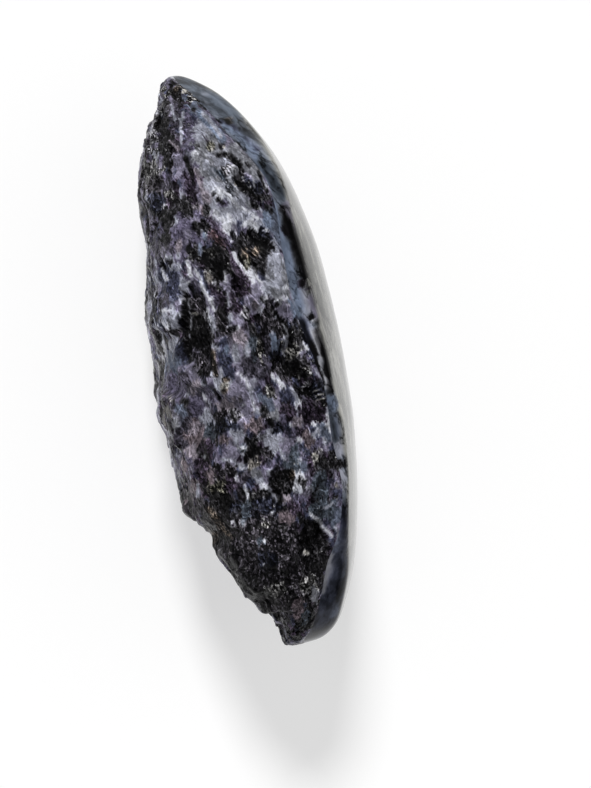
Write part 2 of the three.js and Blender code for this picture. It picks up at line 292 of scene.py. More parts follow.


# The markings, placed in the photograph's pixels. Each one lies over those before it.
# Patches of the broken side: kind, x, y, half height, half width, and turn in degrees if any,
# which is to the right where it is above 0
# Marks named glint are painted glints, and those of the sparkle kind carry painted glints too.
# Painted shadow: the next mark darkens the foot's lower left.
BROKEN_PATCHES = read_marks("""
# Broad areas
light band: grey 219 176 46 19 -32
band middle: pale 216 196 22 13 -35
facet field: grey 284 288 36 15 -22
middle field: lilac 240 345 26 13 -8
fork field: lilac 236 402 30 20
lower field: dusk 186 412 46 24 -14
foot field: murk 264 560 66 44 -28
# The tip
tip edge: flecks 164 94 12 5 25
tip side: murk 163 105 9 6 20
tip clot: black 176 91 10 6 10
tip neck: black 178 102 7 3
tip grey: steel 194 105 8 9
tip brown: brown 176 90 3 2.5
tip spot: pale 178 85 2 2
tip crumbs: flecks 192 93 5 8
tip fleck: cream 184 92 2.5 2.5
violet edge: gravel 151 134 22 7 12
edge light: pale 147 138 5 3
column top: black 160 124 8 4
column: black 164 146 18 6.5 -10
top violet: dusk 175 116 17 5.5
top indigo: violet 190 131 21 5
top dot: black 194 109 2.2 2
smooth grey: pale 201 129 14 7
grey shade: grey 200 145 5 9
shade dot: black 198 146 2 2
rim grey: grey 217 138 11 9 -35
rim clot: black 222 144 6 3.5
olive clot: olive 218 135 3 4.5
olive pair: olive 211 146 5 4
rim cream: cream 212 148 1.6 1.6
rim light: cream 224 147 1.6 1.8
crystal row: white 195 153 3 5.5
row crumb: white 207 155 2 2.2
row shade: pale 206 166 7 7
blue gravel: gravel 223 164 9 11
gravel light: pale 219 160 7 8
blue glint: white 233 166 2 2.2
lens left: black 170 162 12 4 -5
lens: lilac 179 166 14 6.5 -3
lens cap: plum 176 151 2.4 5
edge gravel: flecks 152 167 7 12
# The upper left
edge flecks: murk 153 183 9 12
left dusk: dusk 166 185 6 7
lens foot: plum 192 178 9 8
band head: pale 208 186 7 7
band knee: white 219 195 5 7 20
band end: sparkle 230 187 9 8
head shade: slate 218 174 5 6 20
band rosy: blush 207 197 7 4 -20
band blush: blush 199 205 5 5
band tail: rosy 203 211 5 3
foot plum: plum 191 194 10 7
slate flecks: flecks 171 195 5 6
pale streak: pale 182 195 3.5 1.8 -15
left navy: navy 157 203 13 7.5
dark neck: black 180 207 12 13
blue sparkle: white 165 208 5 3.4
granules: pale 233 207 9 6
granule light: pale 228 214 8 6 -30
granule shade: violet 223 203 3.4 4.6
band cleft: black 206 211 8 3.6 -8
foot band: white 217 216 8 6 -20
foot white: white 228 227 10 6.5 -20
second navy: black 200 226 9 11
rust bed: rust 217 239 12 6 -15
rust heart: rust 223 245 4 3.5
right clot: black 217 257 12 15
clot crumbs: flecks 213 254 6 5
blue spot: blue 205 236 5 2.6
violet column: violet 179 240 27 9
column wedge: pale 174 220 6 3
column side: lilac 187 238 8 4.5
column heart: blush 179 247 9 3.6 5
column light: pale 178 256 3 3
left clot: black 193 254 10 8
blue grain: steel 200 249 7 2.6 -5
dark stripe: black 166 220 14 6.5
stripe foot: black 166 238 8 5
left violet: dusk 160 249 9 10
edge lilac: dusk 155 236 8 3
edge clot: black 147 234 10 7
clot foot: black 164 264 6 6
# Along the rim, upper part
slate facet: navy 256 182 11 6 -12
facet light: grey 254 183 5 1.6 -10
second cream: cream 236 183 2.6 2
brown flecks: flecks 246 189 5 4.6
grey gravel: pale 242 204 10 8
olive rest: grey 252 204 4 6.5
pale block: white 242 216 7 11
block warmth: pale 238 214 5 8
block teeth: white 249 226 4 9
block gap: violet 243 230 2.4 4
block foot: navy 264 235 6 7
blue patch: blue 268 222 12 7 -10
patch fleck: white 265 231 2.2 3.4
steel rim: steel 278 228 24 7 -10
# The round clot and the clear facet
clot ring: black 252 257 16 17
clot roof: brown 251 254 7 11
clot heart: olive 248 264 6 5
bright bed: white 252 278 8.5 8.5
dark field: murk 277 321 21 20
field slate: navy 296 329 12 8
clear facet: pale 274 270 23 10.5
facet top: pale 276 253 4.6 4.6
clot crown: black 253 241 9 20
facet shade: grey 268 273 8 4.6
facet glint: pale 271 272 3.4 1.2
facet fan: pale 267 288 8 5
facet bits: white 286 287 3 3.2
lone speck: white 266 299 1.7 1.7
star: white 284 298 3.2 5
violet facet: lilac 289 311 11 12
facet blue: blue 296 312 10 4.8
plum seam: plum 240 281 20 7.5 -12
rib: lilac 254 300 15 8 -8
facet right: lilac 296 290 12 6 -10
rib blush: blush 255 305 5 3.2
lens two: lilac 227 284 10 4.6
lens glint: white 226 276 7 2.6
plum lens: plum 219 299 8.5 6
green cream: beige 209 278 7 4 -10
cream glint: white 214 283 3.4 1.6
crystal one: white 212 300 3.2 2
crystal two: white 207 310 3 1.8
green black: murk 222 322 13 7
plum band: plum 236 306 13 5
band specks: gravel 245 317 8 4.6
spindle: pale 230 317 6 2.6
band white: white 236 327 2.6 3.6
field speck: pale 262 311 1.6 1.6
field crumb: pale 275 318 1.8 1.8
field gravel: gravel 284 330 6 4.6
# The left slope
indigo slope: indigo 169 283 22 13
slope head: pale 177 266 5 5.4
slope white: pale 155 281 4.6 5
slope lilac: lilac 156 288 3 4.6
slope steel: dusk 166 300 9 6.5
slope blush: pale 184 286 11 6
streak spot: white 190 283 2 2.2
edge pale: white 153 298 4.4 2.2
edge indigo: navy 155 320 16 5.4
grey patch: pale 172 317 10 11
patch white: white 166 310 2.4 6
patch foot: white 162 331 7 8
patch shade: black 168 338 7 3
low lilac: pale 174 343 9 6
low indigo: indigo 183 353 10 8
# The long cavity and its foot
long cavity: black 197 334 40 14 -8
cavity olive: murk 197 305 11 8
cavity beige: cream 195 314 2 3.8
cavity wall: black 185 313 17 3.4
cavity floor: black 205 342 19 11 -6
wall speck: pale 190 335 1.8 1.4
wall blush: dusk 196 354 7 3.8 -20
blue crystals: sparkle 212 322 7 3.4 -10
crystal hook: white 208 311 3 2.2
crystal tip: white 211 319 4 2 -15
deep blue: indigo 224 356 22 8
blue streaks: blue 227 350 6 2.8
rosy gravel: blush 239 337 9 9
gravel mix: blush 243 340 9 5
gravel lilac: pale 236 353 10 4.2
gravel notch: black 232 329 4 2.4
cavity plum: murk 203 362 9 9
foot sparkle: sparkle 215 378 7 4.8
foot glint: white 214 375 2 1.8
bed glow: pale 221 383 11 9
cream bed: cream 225 386 4.2 5.4
bed blue: pale 232 386 6.5 3
bed roof: brown 226 380 2 4.6
bed floor: brown 225 391 2.4 3.6
# The middle, right of the cavity
blue white: pale 247 351 10 3
dusk middle: dusk 255 369 11 15
slate indigo: slate 254 346 12 4.8
fleck streak: crumbs 261 352 14 3.2 -10
olive middle: dusk 267 347 13 4.6
steel facet: blue 275 344 8.5 4.8
facet foot: navy 275 354 4 5.4
facet speck: pale 272 333 3.4 1.4
rim black: black 295 338 14 9
middle gravel: pale 285 341 6 3
pink flecks: crumbs 291 351 8 10
big black: murk 289 368 11 20
beige flecks: flecks 300 373 5.5 10
rim slate: navy 313 354 20 5.4 -20
white fleck: white 273 377 4.6 1.7 -25
pale bed: dusk 287 388 4.6 9
black corner: black 308 392 9 13 10
solid black: black 291 367 10 17
striped slate: navy 317 391 10 7 -10
corner black: black 319 404 9 6
green bed: gravel 305 384 4.6 5.4
bed flecks: flecks 270 391 7 5
stem lilac: lilac 245 392 9 4.8 -10
stem brown: beige 242 400 5 3
stem steel: steel 259 400 6 4.6
steel pair: steel 268 404 7 4.6
middle lilac: lilac 279 400 6 5
middle indigo: indigo 288 400 11 7
corner plum: plum 312 413 12 13
green plain: grey 277 415 9 6
middle plum: plum 288 410 6 6
# The lower left slope
slope edge: white 158 358 4.6 4.6
teal slate: steel 173 365 14 8
edge violet: plum 163 386 22 5.4 -5
upper indigo: indigo 184 361 9 6
upper blush: lilac 192 371 8 4.6
rosy lilac: blush 195 387 6 5.6
low violet: violet 178 390 11 11
beige spot: cream 171 402 1.8 2
pale spot: pale 187 395 1.8 2.2
small hole: black 184 403 3.4 4.2
plum grey: violet 197 407 12 7.5
plain grey: pale 206 417 8 8
fork shelf: lilac 238 388 10 8
rosy patch: blush 227 406 6.5 12.5
pink gravel: gravel 235 417 7.5 7
patch clot: murk 220 415 5 7.5
patch navy: navy 226 426 6.5 14
smooth column: lilac 244 420 25 4.8
column dot: white 244 404 2.2 2
green grey: pale 238 435 8 7
edge brown: murk 161 408 4.6 4.6
edge beige: beige 166 416 4.6 4.8
edge grey: grey 174 426 7 6.5
shelf steel: steel 182 413 8 7.5
rosy grey: rosy 195 435 15 10.5
grey light: blush 193 428 7 5
low slate: slate 210 434 10 5.4
low plum: plum 207 449 8 7.5
red plum: rosy 225 440 5 7.5
plum edge: lilac 230 446 5 5.4
pit corner: slate 243 448 4 4.4
# The smooth pit and the plain beside it
top blush: rosy 252 424 10 7 20
pale plain: pale 272 440 14 11
plain blue: pale 270 441 9 5.4
plain lilac: lilac 284 446 8 5
plain gap: murk 267 457 4.6 5
low gap: slate 287 469 6 5
plain roof: navy 279 429 6.5 5.4
roof indigo: violet 283 420 7.5 4
smooth pit: black 252 448 14 8 12
pit notch: white 243 448 2.4 2.4
pit lip: beige 253 465 5 10 -14
right blush: blush 298 424 6.5 7.5
blush glint: white 290 425 3.2 2.2
blush shade: plum 301 432 4.6 4.8
right rosy: rosy 307 438 9 5.4
right dusk: violet 319 445 6 4.6
slate low: slate 294 457 14 6.5
bed crystal: white 299 440 4.4 3 -35
steel low: steel 304 467 6 4
beige corner: cream 317 457 6.5 7
corner teal: steel 324 433 9 6
teal dot: white 325 423 2 2
rim spot: black 332 464 9 12
# Below the pit
hill violet: lilac 231 454 8 9
rim white: white 242 466 4.2 3.8
left blush: blush 193 452 7 8
dark plum: plum 202 470 11 9
plum fleck: grey 204 456 2.6 1.8 20
left beige: rosy 184 467 7 5.4
left brown: plum 185 482 7.5 5.6
mid blush: rosy 210 476 7 5
plum hollow: murk 228 474 10 11
red hollow: plum 232 486 10 9
hollow glint: white 237 478 4.4 3 -20
pit gravel: dusk 246 476 7 5.4
beige gravel: grey 255 473 7.5 4.6
green hollow: olive 217 488 8.5 8.5
mauve streaks: rosy 195 489 11 5.6
bed shade: black 262 496 8 14
crystal bed: pale 260 483 6.4 5.6
bed dot: white 263 498 2.2 2
bed clot: black 282 485 16 11.5
clot flecks: brown 292 475 5.4 3
clot glint: white 298 485 2.2 2.6
low black: slate 321 486 16 9
black rest: black 315 494 4.6 7.5
low blush: dusk 305 490 5.6 5.6
bed side: black 304 482 5.4 4.6
blush pair: blush 287 497 5.4 5 -20
low dusk: plum 294 506 5.4 6.5
beige rim: beige 338 485 4.6 3.6
# The foot
black mass: black 223 508 12 26
foot slate: navy 262 507 8 24
slate glint: white 273 512 2.6 2.2
right slate: slate 324 510 11 15
pale facet: steel 337 516 12 5 8
pink grey: rosy 287 517 8.5 7.5
foot clot: black 302 521 6 6
edge dark: plum 191 511 11 9
edge pink: rosy 187 502 5.6 3
edge streaks: murk 202 506 9 6 -10
ledge shade: black 214 516 12 13 -20
dusk rest: navy 236 507 6 7
ring crystal: white 233 524 4 3
ring heart: plum 233 525 1.8 1.4
corner crystal: white 243 523 4 2.6 -10
slate rest: slate 245 511 9 5.4
green crumbs: crumbs 266 525 3.4 4.6
left ledge: murk 214 537 7 8
ledge light: murk 212 534 3.4 4.6
foot crystals: slate 262 541 5 5.5
crystal light: white 265 541 3 2.4
crystal low: murk 255 552 4.6 4
foot navy: navy 267 560 9 13
navy speck: white 264 565 2.2 1.3
foot black: black 249 588 14 12
beige bit: beige 228 543 2.2 2.4
beige pair: beige 231 550 2.4 2.6
brown clot: black 315 553 34 14 -6
clot column: black 323 554 21 6 -4
yellow bits: cream 306 553 2.8 3.6
shelf flecks: flecks 308 585 12 9.5
heel pale: grey 313 595 5.4 5
heel grey: rosy 299 609 12 6
heel column: slate 306 618 10 4.6
toe flecks: flecks 274 590 9 12
""")

# Streaks of the broken side: kind, half width, and the points that they run through
# Painted shadow: the next streak darkens the foot's lower left edge.
BROKEN_STREAKS = read_marks("""
upper border: black 2.2, 158 88, 150 106, 143 118, 141 135, 140 152
left border: black 1.8, 140 152, 139 172, 138 195, 141 215, 145 243
foot border: black 4.5, 229 566, 241 590, 263 611, 277 632
lower border: plum 1.8, 149 335, 153 358, 155 392, 160 420, 170 448
left crevice: black 2, 162 100, 161 112, 158 128
top light: pale 1.6, 171 105, 175 120
top line: pale 1.7, 183 112, 181 130, 182 145
blue streak: blue 4.2, 200 114, 212 126, 222 139
blue glow: pale 2.2, 203 114, 213 125, 220 136
rosy streak: blush 2, 170 141, 178 150
lens border: black 2, 186 158, 192 174
band border: blush 2.4, 195 170, 201 185, 204 200
band line: black 1.2, 214 194, 222 203
band silk: white 2.2, 217 187, 228 195, 238 207
silk end: white 1.8, 242 208, 257 218
seam: plum 2, 208 218, 228 245, 236 265
warm crumbs: grey 7, 234 150, 246 163, 258 174
crumb dots: black 1.4, 246 163, 249 166
vein: black 2.6, 219 155, 231 156, 240 165, 242 173, 236 178
vein foot: black 3.2, 238 180, 245 190, 256 196, 267 198
vein tail: black 2, 252 201, 257 208
facet border: black 1.6, 258 171, 267 191
border light: pale 1, 263 178, 268 188
clot lip: white 2.2, 234 253, 239 263, 245 272
clot lines: cream 0.9, 245 260, 250 268
clot side: black 4, 263 255, 263 271
star arm: white 1.2, 280 299, 275 302
field line: black 1.6, 262 297, 285 325
lens tail: pale 1.6, 228 293, 229 306
long white: white 2.3, 196 270, 203 287, 209 299, 215 311
short white: white 2.3, 188 262, 191 277
slope streak: white 2.4, 161 270, 167 279
edge line: black 2.2, 146 262, 146 296, 149 330
wall line: grey 1, 189 300, 191 330
crystal line: pale 1.4, 211 314, 216 330
white bar: pale 1.7, 213 346, 220 350
olive streak: brown 2.4, 213 352, 216 374
fork arm: white 1.7, 239 373, 245 380, 251 391
fork twig: pale 2, 256 380, 251 392
fork stem: pale 2.6, 251 391, 254 404, 259 413
stem light: white 2.2, 253 403, 255 407
indigo light: pale 1.8, 291 388, 297 401
rim dash: grey 1.5, 284 325, 288 336
stripe one: cream 0.6, 313 391, 322 388
stripe two: cream 0.6, 315 396, 325 393
stripe three: cream 0.7, 317 400, 325 398
rim twig: pale 1.5, 316 370, 322 380
plain slit: black 2.6, 263 408, 272 425
pit rim: pale 2, 222 459, 236 462, 246 469
pit white: white 1.8, 238 446, 246 449
hook: white 1.5, 245 484, 245 490, 248 498
crystal tail: white 2.2, 262 484, 269 490
bed streak: pale 2.2, 269 489, 277 500
lilac rim: lilac 2.2, 332 470, 341 486
slate streak: pale 1.6, 324 508, 332 503
shelf edge: white 2.1, 309 513, 319 522, 332 536
mauve line: pale 1.6, 198 484, 198 497
ledge streak: brown 3.6, 208 510, 218 522, 229 538
crevice: black 3.4, 202 524, 214 533, 227 541
second crevice: black 2.6, 226 546, 240 552
""")

# Patches and streaks of the polished side
# The next mark is partly the tip's own pale colour and partly painted sheen.
# The next two darken the polished foot and toe: partly the stone's own dark slate, partly painted
# shade.
POLISHED_PATCHES = read_marks("""
foot ground: deep 331 590 46 14 12
toe ground: deep 315 626 18 26
top shade: slate 200 94 8 26 35
tip bloom: pale 211 101 5 12 38
top bloom: slate 224 108 9 22 40
top fleck: brown 229 120 2.5 3.4 40
blue field: blue 258 158 22 5 -38
teal bit: blue 265 170 6 4 -30
indigo bit: blue 270 181 11 4 -20
slate teal: slate 280 192 9 5 -30
lens flecks: plum 286 230 6 2.6 -20
lens smear: blue 292 247 6.5 3 -35
lilac widening: pale 301 302 18 9 -15
slate teal low: indigo 307 343 28 7 -15
blue corner: blue 332 402 11 6
slate run: steel 335 428 14 6 -8
oval grain: pale 338 449 10 6 -5
black gap: black 338 464 4 7
deep run: pale 341 480 12 6 -4
facet side: indigo 342 520 16 6
rim dusk: deep 344 540 12 5
green bloom: steel 335 611 8 5 42
""")
# The next streak is painted glints along the foot's right edge.
POLISHED_STREAKS = read_marks("""
upper line: slate 1.6, 178 84, 196 92, 214 104
brown streak: indigo 1.7, 220 121, 230 125, 240 133, 250 140, 259 149
blue run: blue 3.4, 224 126, 240 137, 260 159
violet run: slate 4, 262 160, 271 176, 279 196
grey run: lilac 3, 288 203, 293 220, 302 250
slate inner: blue 4.4, 273 206, 278 228, 288 256, 296 290, 300 314
black lens: black 3.6, 283 209, 290 228, 297 246, 302 266, 304 276
lens tip: plum 2, 300 281, 306 288
lilac band: lilac 3.2, 313 288, 315 320
dark band: black 1.2, 309 300, 311 320
pale wedge: white 2.4, 310 322, 317 348, 322 366, 327 388
wedge edge: black 1.1, 307 326, 313 348, 318 366, 323 384
black strip: black 2.3, 317 322, 323 350, 327 366, 331 393
run line: slate 1.4, 331 414, 335 440
green blotch: grey 3.6, 330 556, 328 572, 322 591
foot lights: steel 1.6, 346 556, 345 590, 338 606
""")

# Lightness for each level of a mineral's brightness, on the broken and on the polished side
BROKEN_LIGHTNESS = [
    (0.0, 0.002), (0.13, 0.004), (0.19, 0.009), (0.28, 0.017), (0.34, 0.029), (0.44, 0.048),
    (0.50, 0.08), (0.60, 0.125), (0.66, 0.19), (0.76, 0.29), (0.84, 0.45), (1.0, 0.75),
]
POLISHED_LIGHTNESS = [
    (0.0, 0.002), (0.16, 0.005), (0.3, 0.02), (0.45, 0.06), (0.58, 0.14), (0.72, 0.26),
    (0.86, 0.42), (1.0, 0.7),
]
MIDDLE_GREY = (0.5, 0.5, 0.5)

# Finish of the broken side. Sizes are in millimetres.
BROKEN_WARP = (0.5, 0.14)  # size and reach
CONTRAST_LAYERS = ((1.3, 0.2), (0.5, 0.1), (0.18, 0.48))  # size and strength
CONTRAST_NOISE = (3.0, 0.8)  # detail and roughness
# Thin pale lines at cell borders: painted highlights along crystal edges
HIGHLIGHT_LINE_SPACING = 1.3
HIGHLIGHT_LINE_WIDTH = 0.09
HIGHLIGHT_LINE_LIFT = 0.2
HIGHLIGHT_LINE_GROUP_SIZE = 2.2
HIGHLIGHT_LINE_GROUP_FADE = (0.5, 0.62)
GLOSS_SIZE = 0.6
GLOSS_RANGE = (0.12, 0.4)
BROKEN_SPECULAR = 0.06
FACET_TURNS = ((1.3, 0.7), (0.2, 0.66))  # size of the crystal faces, and how far they turn
FACET_TURN_RANGE = (0.3, 1.0)

# Finish of the polished side
POLISHED_WARP = (2.2, 0.9)
HAZE_NOISE = (3.2, 6.0, 0.62)  # size, detail and roughness
HAZE_FADE = (0.3, 0.7)
HAZE_STRENGTH = 0.62
BRANCH_SHIFT = (31.0, 7.0, 3.0)
BRANCH_NOISE = (2.1, 5.0, 0.6)
BRANCH_WIDTH = 0.09
BRANCH_GROUP_SIZE = 5.0
BRANCH_GROUP_FADE = (0.42, 0.6)
BRANCH_LIFT = -0.45
SPECK_SIZE = 0.55
SPECK_STRENGTH = 0.1
POLISHED_ROUGHNESS = 0.1
POLISHED_SPECULAR = 0.07

# Setting. Suns: direction to the camera's right, up and toward it, then energy and spread
SUNS = {
    "key": ((-0.05, 0.65, 0.8), 2.65, 13),
    "left fill": ((-0.7, 0, 0.7), 0.5, 80),
    "right fill": ((0.7, 0, 0.7), 0.4, 80),
}
HORIZON_LIGHT = 0.6
SKY_LIGHT = 0.14
SKY_START = 0.12  # how high above the horizon the sky's own light begins
FLOOR_HALF = 1.5
FLOOR_FINISH = {
    "Base Color": (0.45, 0.45, 0.45, 1),
    "Roughness": 0.9,
    "Emission Color": (1, 1, 1, 1),
    "Emission Strength": 0.56,
}

# Numbers that scramble a lattice point
SCRAMBLE = [374761393, 668265263, 1440662683, 1013904223]
SECOND_SCRAMBLE = 1274126177
FIRST_SHIFT = 13
SECOND_SHIFT = 16
HASH_RANGE = 2**32

# What is added to a cell's seed for its level and its tilts. Its place takes the first three.
LEVEL_SEED = 3
TILT_SEED = 4


def smooth(t):
    """Rises smoothly from 0 to 1 as t does."""
    t = np.clip(t, 0, 1)
    return t * t * (3 - 2 * t)


def fade_in(value, start, width):
    """Rises smoothly from 0 at the start to 1 after the width."""
    return smooth((value - start) / width)


# Repeatable relief

def hashed(cell, seed):
    """A repeatable number from 0 to 1 for each lattice point, as in the solid."""
    h = np.uint32(seed * SCRAMBLE[3] % HASH_RANGE)
    for c, scramble in zip(cell, SCRAMBLE):
        h = h + c.astype(np.int64).astype(np.uint32) * np.uint32(scramble)
    h = (h ^ (h >> np.uint32(FIRST_SHIFT))) * np.uint32(SECOND_SCRAMBLE)
    return (h ^ (h >> np.uint32(SECOND_SHIFT))) / float(HASH_RANGE)


def lumps(point, size, seed):
    """Rounded lumps, from -1 to 1."""
    cell = [np.floor(v / size) for v in point]
    part = [smooth(v / size - c) for v, c in zip(point, cell)]
    total = np.zeros_like(point[0])
    for corner in product((0, 1), repeat=3):
        share = 1.0
        for p, side in zip(part, corner):
            share = share * (p if side else 1 - p)
        total += share * hashed([c + side for c, side in zip(cell, corner)], seed)
    return 2 * total - 1


def nearest_cell(point, size, seed):
    """The nearest cell of a jittered lattice, and how far each point is from its middle."""
    cell = [np.floor(v / size) for v in point]
    least = np.full(point[0].shape, np.inf)
    nearest = [np.zeros_like(v) for v in point]
    away = [np.zeros_like(v) for v in point]
    for neighbour in product((-1, 0, 1), repeat=3):
        key = [c + side for c, side in zip(cell, neighbour)]
        off = [point[n] - (key[n] + hashed(key, seed + n)) * size for n in range(3)]
        distance = sum(v * v for v in off)
        closer = distance < least
        least = np.where(closer, distance, least)
        nearest = [np.where(closer, new, old) for new, old in zip(key, nearest)]
        away = [np.where(closer, new, old) for new, old in zip(off, away)]
    return nearest, away


def facets(point, size, tilt, seed):
    """Broken facets: each cell of a jittered lattice is a plane of its own height and tilt."""
    key, away = nearest_cell(point, size, seed)
    value = 2 * hashed(key, seed + LEVEL_SEED) - 1
    for n in range(3):
        value = value + tilt * (2 * hashed(key, seed + TILT_SEED + n) - 1) * away[n]
    return value


def shaken(point, size, reach, seed):
    """The places moved about by up to reach, so that borders wander."""
    return [v + reach * lumps(point, size, seed + n) for n, v in enumerate(point)]


def grain_place(point):
    """The place measured along the grain of the rock, across it and in depth."""
    along, across, depth = point
    drawn_out = GRAIN_RATE * along - GRAIN_RATE_FALL * along**2
    return drawn_out, across + GRAIN_LEAN * along + GRAIN_BEND * along**2, depth


def stone_place(place):
    """The opposite of grain_place."""
    under_root = np.maximum(GRAIN_RATE**2 - 4 * GRAIN_RATE_FALL * place[0], 0)
    along = (GRAIN_RATE - np.sqrt(under_root)) / (2 * GRAIN_RATE_FALL)
    return along, place[1] - GRAIN_LEAN * along - GRAIN_BEND * along**2, place[2]


# The stone's smooth form

def outline(points):
    """A smooth curve along the stone. It closes roundly, being smooth in the angle of the place."""
    at = np.arcsin(np.clip([p[0] / HALF_LENGTH for p in points], -1, 1))
    value = np.array([p[1] for p in points], float)
    rise = np.diff(value) / np.diff(at)
    before = np.r_[rise[0], rise]
    after = np.r_[rise, rise[-1]]
    total = np.where(before * after > 0, before + after, 1)
    slope = np.where(before * after > 0, 2 * before * after / total, 0)

    def curve(angle):
        i = np.clip(np.searchsorted(at, angle) - 1, 0, len(at) - 2)
        span = at[i + 1] - at[i]
        t = (angle - at[i]) / span
        return (
            (2 * t**3 - 3 * t**2 + 1) * value[i]
            + (t**3 - 2 * t**2 + t) * span * slope[i]
            + (3 * t**2 - 2 * t**3) * value[i + 1]
            + (t**3 - t**2) * span * slope[i + 1]
        )

    return curve


face_line = outline(POLISHED_FACE_LINE)
back_line = outline(BACK_LINE)
broken_back_line = outline(BROKEN_BACK_LINE)
near_depth = outline(NEAR_DEPTH)
far_depth = outline(FAR_DEPTH)
face_fall = outline(FACE_FALL)
shoulder_fall = outline(SHOULDER_FALL)


def edge_depth(angle, side):
    """The stone's depth on its near side, where side is above 0, and on its far side."""
    return np.where(side > 0, near_depth(angle), far_depth(angle))


def shoulder_width(angle, reach):
    """How wide the sloping shoulder is, where the rim is this deep."""
    return np.minimum(SHOULDER_STEEPNESS * shoulder_fall(angle), SHOULDER_LIMIT * reach)


def shoulder_place(angle, depth):
    """How far each place is from the nearest rim of the polished face, 1 being at the crease."""
    reach = RIM_DEPTH * edge_depth(angle, depth)
    return (reach - np.abs(depth)) / np.maximum(shoulder_width(angle, reach), LEAST_SHOULDER)


def shoulder_slope(share):
    """Falls evenly from 1 at the rim, share 0, to nothing, with a rounded crease at share 1."""
    left = 1 - share
    rounded = left + np.sqrt(left**2 + SHOULDER_ROUNDING**2)
    return rounded / (1 + math.sqrt(1 + SHOULDER_ROUNDING**2))


def polished_across(angle, t):
    """The polished face across a section, t from 1 at the near rim to -1 at the far rim."""
    reach = RIM_DEPTH * edge_depth(angle, t)
    dome = ((t - FACE_TOP) / (1 - FACE_TOP)) ** 2
    share = (1 - np.abs(t)) * reach / shoulder_width(angle, reach)
    shoulder = shoulder_fall(angle) * shoulder_slope(share)
    return face_line(angle) - face_fall(angle) * dome - shoulder


def rough_quarter(angle, depth, rim, crest_place, shelf_steps, back_steps, chipped):
    """The broken surface from a rim over the crest, ending just before the back's outline."""
    back = back_line(angle)
    notch = broken_back_line(angle) - back
    crest = back + crest_place * (rim - back)
    width = smooth((rim - back) / FULL_RELIEF_WIDTH)
    to_rim = 1 - np.arange(shelf_steps) / shelf_steps
    from_rim = (1 - to_rim) * (rim - crest)
    shelf = {
        "across": crest + (rim - crest) * to_rim,
        "depth": depth * (1 - (1 - RIM_DEPTH - chipped) * to_rim * to_rim),
        "rough": width * smooth(from_rim / RIM_MARGIN),
        "fine": smooth(from_rim / FINE_MARGIN),
    }
    turn = math.pi / 2 * np.arange(back_steps) / back_steps
    share = np.cos(turn) ** BACK_FULLNESS
    toward_back = np.sin(turn) ** BACK_FULLNESS
    notched = toward_back * (1 - fade_in(share, NOTCH_START, NOTCH_END - NOTCH_START))
    slope = {
        "across": crest - (crest - back) * toward_back + notch * notched,
        "depth": depth * share,
        "rough": width * (BACK_SHARE + (1 - BACK_SHARE) * smooth(share / NOTCH_END)),
        "fine": np.ones_like(depth * share),
    }
    return {key: np.hstack([shelf[key], slope[key]]) for key in shelf}


def rim_chips(along):
    """The small chips along the polished face's rim, from -1 to 1."""
    level = np.zeros_like(along)
    point = (along, level, level)
    chips = facets(point, RIM_CHIP_SIZE, RIM_CHIP_TILT, RIM_CHIP_SEED)
    return (chips + lumps(point, RIM_LUMP_SIZE, RIM_LUMP_SEED)) / 2


def stone_rings():
    """Every ring of the smooth stone: along, across, depth, and shares of both reliefs."""
    angle = math.pi * (np.arange(1, STATIONS + 1) / (STATIONS + 1) - 0.5)[:, None]
    t = np.cos(math.pi * np.arange(POLISHED_STEPS) / POLISHED_STEPS)
    chipped = RIM_CHIP_DEPTH * rim_chips(HALF_LENGTH * np.sin(angle))
    rim_depth = RIM_DEPTH + chipped * np.abs(t) ** RIM_CHIP_POWER
    flat = np.zeros((STATIONS, POLISHED_STEPS))
    polished = {
        "across": polished_across(angle, t),
        "depth": t * rim_depth * edge_depth(angle, t),
        "rough": flat,
        "fine": flat,
    }
    far = rough_quarter(
        angle, -far_depth(angle), polished_across(angle, -1.0), FAR_CREST,
        FAR_SHELF_STEPS, FAR_BACK_STEPS, chipped,
    )
    near = rough_quarter(
        angle, near_depth(angle), polished_across(angle, 1.0), NEAR_CREST,
        NEAR_SHELF_STEPS, NEAR_BACK_STEPS, chipped,
    )
    middle = {
        "across": broken_back_line(angle),
        "depth": np.zeros_like(angle),
        "rough": np.full_like(angle, BACK_SHARE),
        "fine": np.ones_like(angle),
    }
    rings = {}
    for key in polished:
        rings[key] = np.hstack([polished[key], far[key], middle[key], near[key][:, :0:-1]])
    rings["rough"] = rings["rough"] * smooth(np.cos(angle) / END_MARGIN)
    rings["fine"] = rings["fine"] * smooth(np.cos(angle) / FINE_END_MARGIN)
    rings["along"] = HALF_LENGTH * np.sin(angle) + np.zeros_like(rings["across"])
    return rings


def lay(along, across, depth):
    """From the stone's own directions, in millimetres, to where it lies, in metres."""
    y = depth * math.sin(LEAN) - across * math.cos(LEAN) + REST_SHIFT
    z = depth * math.cos(LEAN) + across * math.sin(LEAN) + REST_DROP
    return np.stack([along, y, z], axis=-1) * MM


def grid_normals(place):
    """Outward directions of a grid of places whose rows close on themselves."""
    down = np.gradient(place, axis=0)
    around = np.roll(place, -1, axis=1) - np.roll(place, 1, axis=1)
    normal = np.cross(around, down)
    return normal / np.linalg.norm(normal, axis=-1, keepdims=True)


# Its relief

def turned_by(a, b, degrees):
    """Two distances measured in directions that are turned by an angle."""
    turn = math.radians(degrees)
    return a * math.cos(turn) + b * math.sin(turn), b * math.cos(turn) - a * math.sin(turn)


def form_share(along, across, mid_along, mid_across, long, wide, turn):
    """How much of a hollow or ridge lies at each place."""
    a, c = turned_by(along - mid_along, across - mid_across, turn)
    inside = np.maximum(0, 1 - (a / long) ** 2 - (c / wide) ** 2)
    return inside * (2 - inside)


